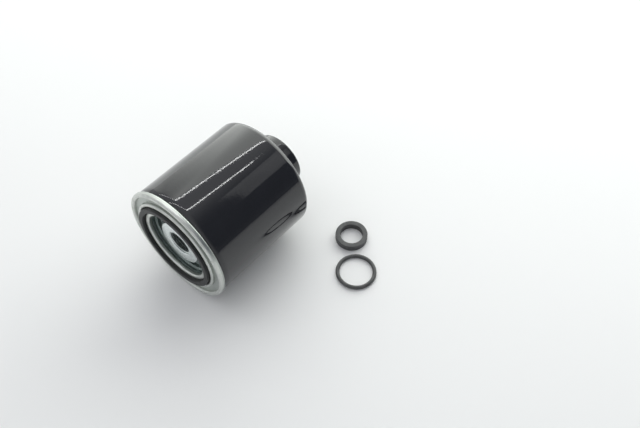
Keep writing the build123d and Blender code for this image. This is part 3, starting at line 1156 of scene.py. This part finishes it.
@dataclass
class BasePlate:
    """The plate behind the lid: threaded hub, stepped recess, inlet holes and flange."""

    hub: float = 18.4 * MM
    hub_corner: float = 0.9 * MM
    ledge_depth: float = 3.2 * MM
    ledge: float = 20.6 * MM
    corner: float = 0.5 * MM
    recess: float = 27.36 * MM
    recess_depth: float = 6.0 * MM
    step_depth: float = 2.6 * MM
    step: float = 1.5 * MM
    plate: float = 3.0 * MM
    spigot: float = 13.5 * MM
    major: float = 10.0 * MM
    pitch: float = 1.5 * MM
    lead_in: float = 0.45 * MM
    thread_depth: float = 0.83 * MM
    holes: int = 8
    hole: float = 1.8 * MM
    hole_break: float = 0.25 * MM

    def build(self, finishes: Finishes) -> None:
        """Builds and dresses the plate and its thread.

        Args:
            finishes: the materials.
        """
        low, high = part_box("base_plate")
        edge, top, end = high.x, low.y, high.y
        back = self.recess_depth + self.plate
        outline = Outline(step=0.2 * MM).bends([
            Corner(self.major, self.lead_in),
            Corner(self.major + self.lead_in, 0.0, 0.12 * MM),
            Corner(self.hub, 0.0, self.hub_corner),
            Corner(self.hub, self.ledge_depth, 0.3 * MM),
            Corner(self.ledge, self.ledge_depth, self.corner),
            Corner(self.ledge, self.recess_depth, self.corner),
            Corner(self.recess - self.step, self.recess_depth, self.corner),
            Corner(self.recess - self.step, self.step_depth, self.corner),
            Corner(self.recess, self.step_depth, self.corner),
            Corner(self.recess, top),
            Corner(edge, top),
            Corner(edge, top + self.plate),
            Corner(self.recess + self.plate, top + self.plate),
            Corner(self.recess + self.plate, back),
            Corner(self.spigot, back),
            Corner(self.spigot, end),
            Corner(self.major + self.lead_in, end),
            Corner(self.major, end - self.lead_in),
        ], closed=True)
        blank = lathe("plate_blank", outline, segments=256)
        circle = (self.ledge + self.recess - self.step) / 2
        piece = drill_tree().grow(
            "base_plate_turned", finishes.plate, blank, Count=self.holes, Circle=circle,
            Hole_Radius=self.hole, Break=self.hole_break, Front=self.recess_depth, Turn=math.pi / self.holes,
        )
        dress(piece, finishes.plate, Body.CANISTER, "plated_steel", "base_plate")
        thread = thread_tree().grow(
            "head_thread_ridge", finishes.thread, Start=self.lead_in, Length=end - 2 * self.lead_in,
            Major_Radius=self.major, Depth=self.thread_depth, Pitch=self.pitch,
        )
        dress(thread, finishes.thread, Body.CANISTER, "plated_steel")


@dataclass
class LidFixings:
    """The spot welds under the gasket and the sealing compound behind the seam."""

    seam: Seam
    welds: int = 8
    spot: float = 1.5 * MM
    ripple: float = 0.06 * MM

    def build(self, finishes: Finishes) -> None:
        """Builds and dresses the welds and the compound.

        Args:
            finishes: the materials.
        """
        low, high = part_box("spot_welds")
        spots = weld_tree().grow(
            "weld_spots", finishes.hub, Count=self.welds, Circle=high.x - self.spot, Spot_Radius=self.spot,
            Front=low.y, Depth=high.y - low.y,
        )
        dress(spots, finishes.hub, Body.CANISTER, "plated_steel", "spot_welds")
        low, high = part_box("seam_sealant")
        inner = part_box("base_plate")[1].x
        outline = Outline(step=0.15 * MM).to(inner, low.y).to(high.x, low.y).to(high.x, (low.y + high.y) / 2)
        outline.bends([
            Corner(high.x, (low.y + high.y) / 2),
            Corner((high.x + inner) / 2, (low.y + high.y) / 2, 0.5 * MM),
            Corner(inner, high.y),
        ])
        shift = waviness(self.ripple, lobes=(5, 12, 23), seed=8)
        compound = lathe("seam_compound_bead", outline, segments=192, shift=shift)
        dress(compound, finishes.sealant, Body.CANISTER, "sealing_compound", "seam_sealant")


@dataclass
class HeadGasket:
    """The large sealing ring in the lid's groove."""

    inner: float = 31.51 * MM
    edge: float = 0.5 * MM
    flash: float = 0.12 * MM

    def build(self, finishes: Finishes) -> None:
        """Builds and dresses the gasket.

        Args:
            finishes: the materials.
        """
        low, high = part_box("head_gasket")
        outline = Outline(step=0.12 * MM).bends([
            Corner(self.inner, low.y, self.edge), Corner(high.x, low.y, self.edge),
            Corner(high.x, high.y, self.edge), Corner(self.inner, high.y, self.edge),
        ], closed=True)
        piece = lathe("gasket", outline, segments=256, shift=waviness(self.flash, lobes=(2, 5, 8), seed=21))
        dress(piece, finishes.gasket, Body.CANISTER, "black_rubber", "head_gasket")


@dataclass
class PortCollar:
    """The threaded collar at the rear, with its weld bead."""

    seat: float = 16.1 * MM
    seat_depth: float = 2.4 * MM
    spigot: float = 17.5 * MM
    major: float = 14.0 * MM
    pitch: float = 1.5 * MM
    thread_depth: float = 0.8 * MM
    nose: float = 1.0 * MM
    lead_in: float = 0.6 * MM
    bead_ripple: float = 0.12 * MM
    out_of_round: float = 0.02 * MM

    def build(self, finishes: Finishes) -> None:
        """Builds and dresses the collar, its thread and the bead.

        Args:
            finishes: the materials.
        """
        low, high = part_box("port_collar")
        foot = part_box("can_shell")[1].y
        seat_y = high.y - self.seat_depth
        outline = Outline(step=0.2 * MM).bends([
            Corner(self.major, low.y),
            Corner(self.spigot, low.y, 0.3 * MM),
            Corner(self.spigot, foot),
            Corner(high.x, foot),
            Corner(high.x, high.y, self.nose),
            Corner(self.seat, high.y, 0.25 * MM),
            Corner(self.seat, seat_y, 0.2 * MM),
            Corner(self.major + self.lead_in, seat_y, 0.15 * MM),
            Corner(self.major, seat_y - self.lead_in),
        ], closed=True).spaced(3 * MM)
        shift = waviness(self.out_of_round, lobes=(2, 3), seed=3)
        collar = lathe("collar", outline, segments=256, shift=shift)
        dress(collar, finishes.enamel, Body.CANISTER, "black_paint", "port_collar")
        thread = thread_tree().grow(
            "port_thread_ridge", finishes.enamel, Start=low.y, Length=seat_y - self.lead_in - low.y,
            Major_Radius=self.major, Depth=self.thread_depth, Pitch=self.pitch,
        )
        dress(thread, finishes.enamel, Body.CANISTER, "black_paint")
        low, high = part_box("port_weld_bead")
        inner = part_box("port_collar")[1].x
        bead_line = Outline(step=0.1 * MM).to(inner - 0.1 * MM, low.y + 0.05 * MM).to(high.x, low.y)
        leg = high.x - inner
        bead_line.arc(inner, low.y, leg * 0.98, 8, 74).to(inner - 0.1 * MM, high.y)
        shift = waviness(self.bead_ripple, lobes=(11, 37, 52), seed=15)
        bead = lathe("weld_bead", bead_line, segments=256, shift=shift)
        dress(bead, finishes.enamel, Body.CANISTER, "black_paint", "port_weld_bead")


@dataclass
class Spring:
    """The spring that holds the element against the hub."""

    radius: float = 20.0 * MM
    wire: float = 2.0 * MM
    turns: float = 4.0
    travel: float = 2.5 * MM

    def build(self, finishes: Finishes) -> None:
        """Builds and dresses the spring.

        Args:
            finishes: the materials.
        """
        low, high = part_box("element_spring")
        piece = spring_tree().grow(
            "spring", finishes.spring, Start=low.y, Length=high.y - low.y, Radius=self.radius, Wire=self.wire,
            Turns=self.turns,
        )
        dress(piece, finishes.spring, Body.CANISTER, "spring_steel", "element_spring")
        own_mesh(piece)


@dataclass
class Element:
    """The filter element: caps, adhesive, pleated paper, tube, grommet and spring cup."""

    paper: float = 0.6 * MM
    pleats: int = 44
    paper_inner: float = 19.75 * MM
    paper_outer: float = 38.55 * MM
    tube_wall: float = 0.5 * MM
    tube_holes: int = 8
    tube_rows: int = 7
    hole: float = 2.4 * MM

    def build(self, finishes: Finishes) -> None:
        """Builds and dresses the element.

        Args:
            finishes: the materials.
        """
        low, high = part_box("pleated_media")
        paper = pleat_tree().grow(
            "pleated_paper", finishes.paper, Start=low.y, Length=high.y - low.y,
            Inner_Radius=self.paper_inner + self.paper / 2, Outer_Radius=self.paper_outer - self.paper,
            Pleats=self.pleats,
        )
        thick = paper.modifiers.new("thickness", "SOLIDIFY")
        thick.thickness = self.paper
        thick.offset = 0.0
        dress(paper, finishes.paper, Body.ELEMENT, "filter_paper", "pleated_media")
        low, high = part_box("centre_tube")
        outline = Outline().to(high.x - self.tube_wall, low.y).to(high.x, low.y)
        outline.to(high.x, high.y).to(high.x - self.tube_wall, high.y).spaced(6 * MM)
        blank = lathe("tube_blank", outline, segments=128)
        start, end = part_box("pleated_media")[0].y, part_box("pleated_media")[1].y
        tube = perforate_tree().grow(
            "perforated_tube", finishes.inner, blank, Rows=self.tube_rows, Across=self.tube_holes,
            Start=start, Length=end - start, Radius=high.x, Hole_Radius=self.hole,
        )
        dress(tube, finishes.inner, Body.ELEMENT, "tinned_sheet", "centre_tube")
        for node in ("upper_end_cap", "lower_end_cap", "media_clip"):
            repaint(node, finishes.inner)
        for node in ("upper_cap_glue", "lower_cap_glue"):
            repaint(node, finishes.glue)
        repaint("spring_cup", finishes.hub)
        repaint("hub_grommet", finishes.gasket)


@dataclass
class LooseSeals:
    """The O-ring and the square-section seal that lie beside the canister."""

    edge: float = 0.3 * MM
    wall: float = 3.79 * MM
    parting: float = 0.06 * MM

    def build(self, finishes: Finishes) -> None:
        """Builds and dresses both seals.

        Args:
            finishes: the materials.
        """
        low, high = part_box("loose_o_ring")
        middle = (low + high) / 2
        half = (high.z - low.z) / 2
        radius = (high.x - low.x) / 2 - half
        outline = Outline(step=0.15 * MM).arc(radius, middle.z, half, 0, 360)
        outline.points.pop()
        shift = waviness(self.parting, lobes=(2, 3), seed=30)
        ring = lathe("o_ring_seal", outline, segments=192, shift=shift, centre=(middle.x, middle.y))
        dress(ring, finishes.o_ring, Body.O_RING, "loose_seal_rubber", "loose_o_ring")
        low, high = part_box("loose_square_seal")
        middle = (low + high) / 2
        outer = (high.x - low.x) / 2
        outline = Outline(step=0.08 * MM).bends([
            Corner(outer - self.wall, low.z, self.edge), Corner(outer, low.z, self.edge),
            Corner(outer, high.z, self.edge), Corner(outer - self.wall, high.z, self.edge),
        ], closed=True)
        shift = waviness(self.parting, lobes=(2, 3, 5), seed=31)
        seal = lathe("square_seal_ring", outline, segments=192, shift=shift, centre=(middle.x, middle.y))
        dress(seal, finishes.square, Body.SQUARE_SEAL, "loose_seal_rubber", "loose_square_seal")


# ---------------------------------------------------------------- studio


@dataclass(frozen=True)
class Tube:
    """A long thin lamp, by its ends, and how bright its face is."""

    name: str
    start: Triple
    end: Triple
    radiance: float


@dataclass(frozen=True)
class Window:
    """A rectangular lamp on the right, by its two sides, and how bright its face is."""

    name: str
    size: tuple[float, float]
    radiance: float


@dataclass
class Studio:
    """Floor, lights and camera."""

    floor_size: float = 12.0
    floor_colour: Triple = (0.86, 0.86, 0.86)
    room_colour: Triple = (0.66, 0.67, 0.69)
    dim_colour: Triple = (0.075, 0.085, 0.11)
    dim_side: Triple = (0.78, 0.38, 0.5)
    panel_radiance: float = 3.1
    panel_size: tuple[float, float] = (3.2, 1.36)
    windows: tuple[Window, ...] = (
        Window("window_right", (0.36, 0.10), 0.6), Window("window_haze", (0.56, 0.26), 0.5),
    )
    window_place: Triple = (0.62, 0.66, 1.0)
    window_along: Triple = (0.9, 0.3, 0)
    window_target: Triple = (0, 0.08, 0)
    tubes: tuple[Tube, ...] = (
        Tube("tube_left", (-1.58, -0.05, 1.01), (-0.06, 0.664, 1.01), 24.0),
        Tube("tube_middle", (-0.75, -0.5, 1.0), (0.14, 0.572, 1.0), 22.0),
    )
    tube_width: float = 0.013
    tube_target: Triple = (0, 0.04, 0)
    camera_place: Triple = (0.2905, -0.1786, 0.47875)
    camera_aim: Triple = (-0.3886, 0.4467, -0.8059)
    lens: float = 45.0
    sensor: float = 36.0

    def area_light(
        self, name: str, middle: Vector, along: Vector, target: Vector, size: tuple[float, float],
        radiance: float,
    ) -> None:
        """A rectangular lamp with its long side along a direction, facing a target.

        Args:
            name: name of the lamp.
            middle: its place.
            along: direction of its first side.
            target: point that it faces.
            size: its two sides.
            radiance: how bright its face is.
        """
        lamp = bpy.data.lights.new(name, "AREA")
        lamp.shape = "RECTANGLE"
        lamp.size, lamp.size_y = size
        lamp.energy = radiance * math.pi * size[0] * size[1]
        holder = bpy.data.objects.new(name, lamp)
        bpy.context.scene.collection.objects.link(holder)
        back = (middle - target).normalized()
        first = (along - back * along.dot(back)).normalized()
        second = back.cross(first)
        turn = Matrix((first, second, back)).transposed().to_4x4()
        holder.matrix_world = Matrix.Translation(middle) @ turn

    def light(self) -> None:
        """Hangs the windows on the right and the long thin lamps, which face the canister."""
        for window in self.windows:
            self.area_light(
                window.name, Vector(self.window_place), Vector(self.window_along), Vector(self.window_target),
                window.size, window.radiance,
            )
        for tube in self.tubes:
            start, end = Vector(tube.start), Vector(tube.end)
            along = end - start
            size = (along.length, self.tube_width)
            self.area_light(
                tube.name, (start + end) / 2, along, Vector(self.tube_target), size, tube.radiance,
            )

    def sky(self) -> None:
        """Soft surroundings, with a darker side of the room to the right and behind."""
        world = bpy.data.worlds.new("studio_surroundings")
        bpy.context.scene.world = world
        world.use_nodes = True
        tree = world.node_tree
        tree.nodes.clear()
        nodes = Nodes(tree)
        way = nodes.add("ShaderNodeTexCoord").outputs["Generated"]
        toward = nodes.add("ShaderNodeVectorMath", {0: way, 1: self.dim_side}, operation="DOT_PRODUCT")
        share = nodes.ramp(toward.outputs["Value"], 0.50, 0.97)
        colour = nodes.mix(share, self.room_colour, self.dim_colour)
        light = nodes.add("ShaderNodeBackground", {"Color": colour, "Strength": 1.0})
        nodes.add("ShaderNodeOutputWorld", {0: light.outputs[0]})

    def side_share(self, nodes: Nodes) -> bpy.types.NodeSocket:
        """How far a place is round to the left of the canister, 0 straight left to 1 half behind."""
        place = nodes.add("ShaderNodeTexCoord").outputs["Object"]
        x, y, _ = nodes.add("ShaderNodeSeparateXYZ", {0: place}).outputs
        slope = nodes.math("DIVIDE", y, nodes.math("MAXIMUM", nodes.product(x, -1.0), 0.01))
        return nodes.add("ShaderNodeMapRange", {0: slope, 1: 0.37, 2: 0.60}).outputs[0]

    def floor(self) -> None:
        """The pale floor that everything lies on."""
        level = CAD_BOX[0].z
        half = self.floor_size / 2
        corners = [(-half, -half, level), (half, -half, level), (half, half, level), (-half, half, level)]
        piece = flat_piece("floor", corners)
        paper = Skin("floor_paper").set(Base_Color=(*self.floor_colour, 1.0), Roughness=0.9)
        piece.data.materials.append(paper)

    def back_panel(self) -> None:
        """The large soft panel behind and to the left, brighter towards the back and at its foot."""
        edge = Vector((-0.44, 0.51, 1.0))
        along = Vector((-0.906, -0.423, 0.0))
        down = Vector((-0.423, 0.906, -1.2)).normalized()
        half, height = self.panel_size[0] / 2, self.panel_size[1]
        corners = [
            edge + along * a + down * b for a, b in ((-half, 0), (half, 0), (half, height), (-half, height))
        ]
        piece = flat_piece("back_panel", corners)
        piece.visible_camera = False
        skin = Skin("panel_glow")
        level = skin.nodes.add("ShaderNodeSeparateXYZ", {0: skin.place}).outputs[2]
        foot = skin.uneven(skin.nodes.ramp(level, 0.9, 0.5), 0.66, 1.0)
        side = skin.uneven(self.side_share(skin.nodes), 0.30, 1.0)
        glow = skin.nodes.product(foot, side, self.panel_radiance)
        piece.data.materials.append(skin.set(
            Base_Color=(0.0, 0.0, 0.0, 1.0), Emission_Color=(0.97, 1.0, 0.965, 1.0), Emission_Strength=glow,
        ))

    def build(self) -> None:
        """Builds the floor, the lamps and the camera."""
        self.floor()
        self.sky()
        self.back_panel()
        self.light()
        lens = bpy.data.cameras.new("camera")
        lens.lens, lens.sensor_width = self.lens, self.sensor
        lens.clip_start = 0.01
        camera = bpy.data.objects.new("camera", lens)
        bpy.context.scene.collection.objects.link(camera)
        camera.location = self.camera_place
        camera.rotation_mode = "QUATERNION"
        camera.rotation_quaternion = Vector(self.camera_aim).to_track_quat("-Z", "Y")
        bpy.context.scene.camera = camera
        bpy.context.scene.view_settings.view_transform = "Standard"
        bpy.context.scene.cycles.use_denoising = True


def main() -> None:
    """Builds every sub-assembly in order, then the studio."""
    logging.basicConfig(level=logging.INFO, format="%(name)s: %(message)s")
    middles = [(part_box(node)[0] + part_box(node)[1]) / 2 for node in ("loose_o_ring", "loose_square_seal")]
    finishes = Finishes(*middles)
    seam = Seam()
    for part in (
        CanShell(seam), SeamLid(seam), BasePlate(), LidFixings(seam), HeadGasket(), PortCollar(), Spring(),
        Element(), LooseSeals(),
    ):
        part.build(finishes)
        log.info("%s done", type(part).__name__)
    Studio().build()


if __name__ == "__main__":
    main()
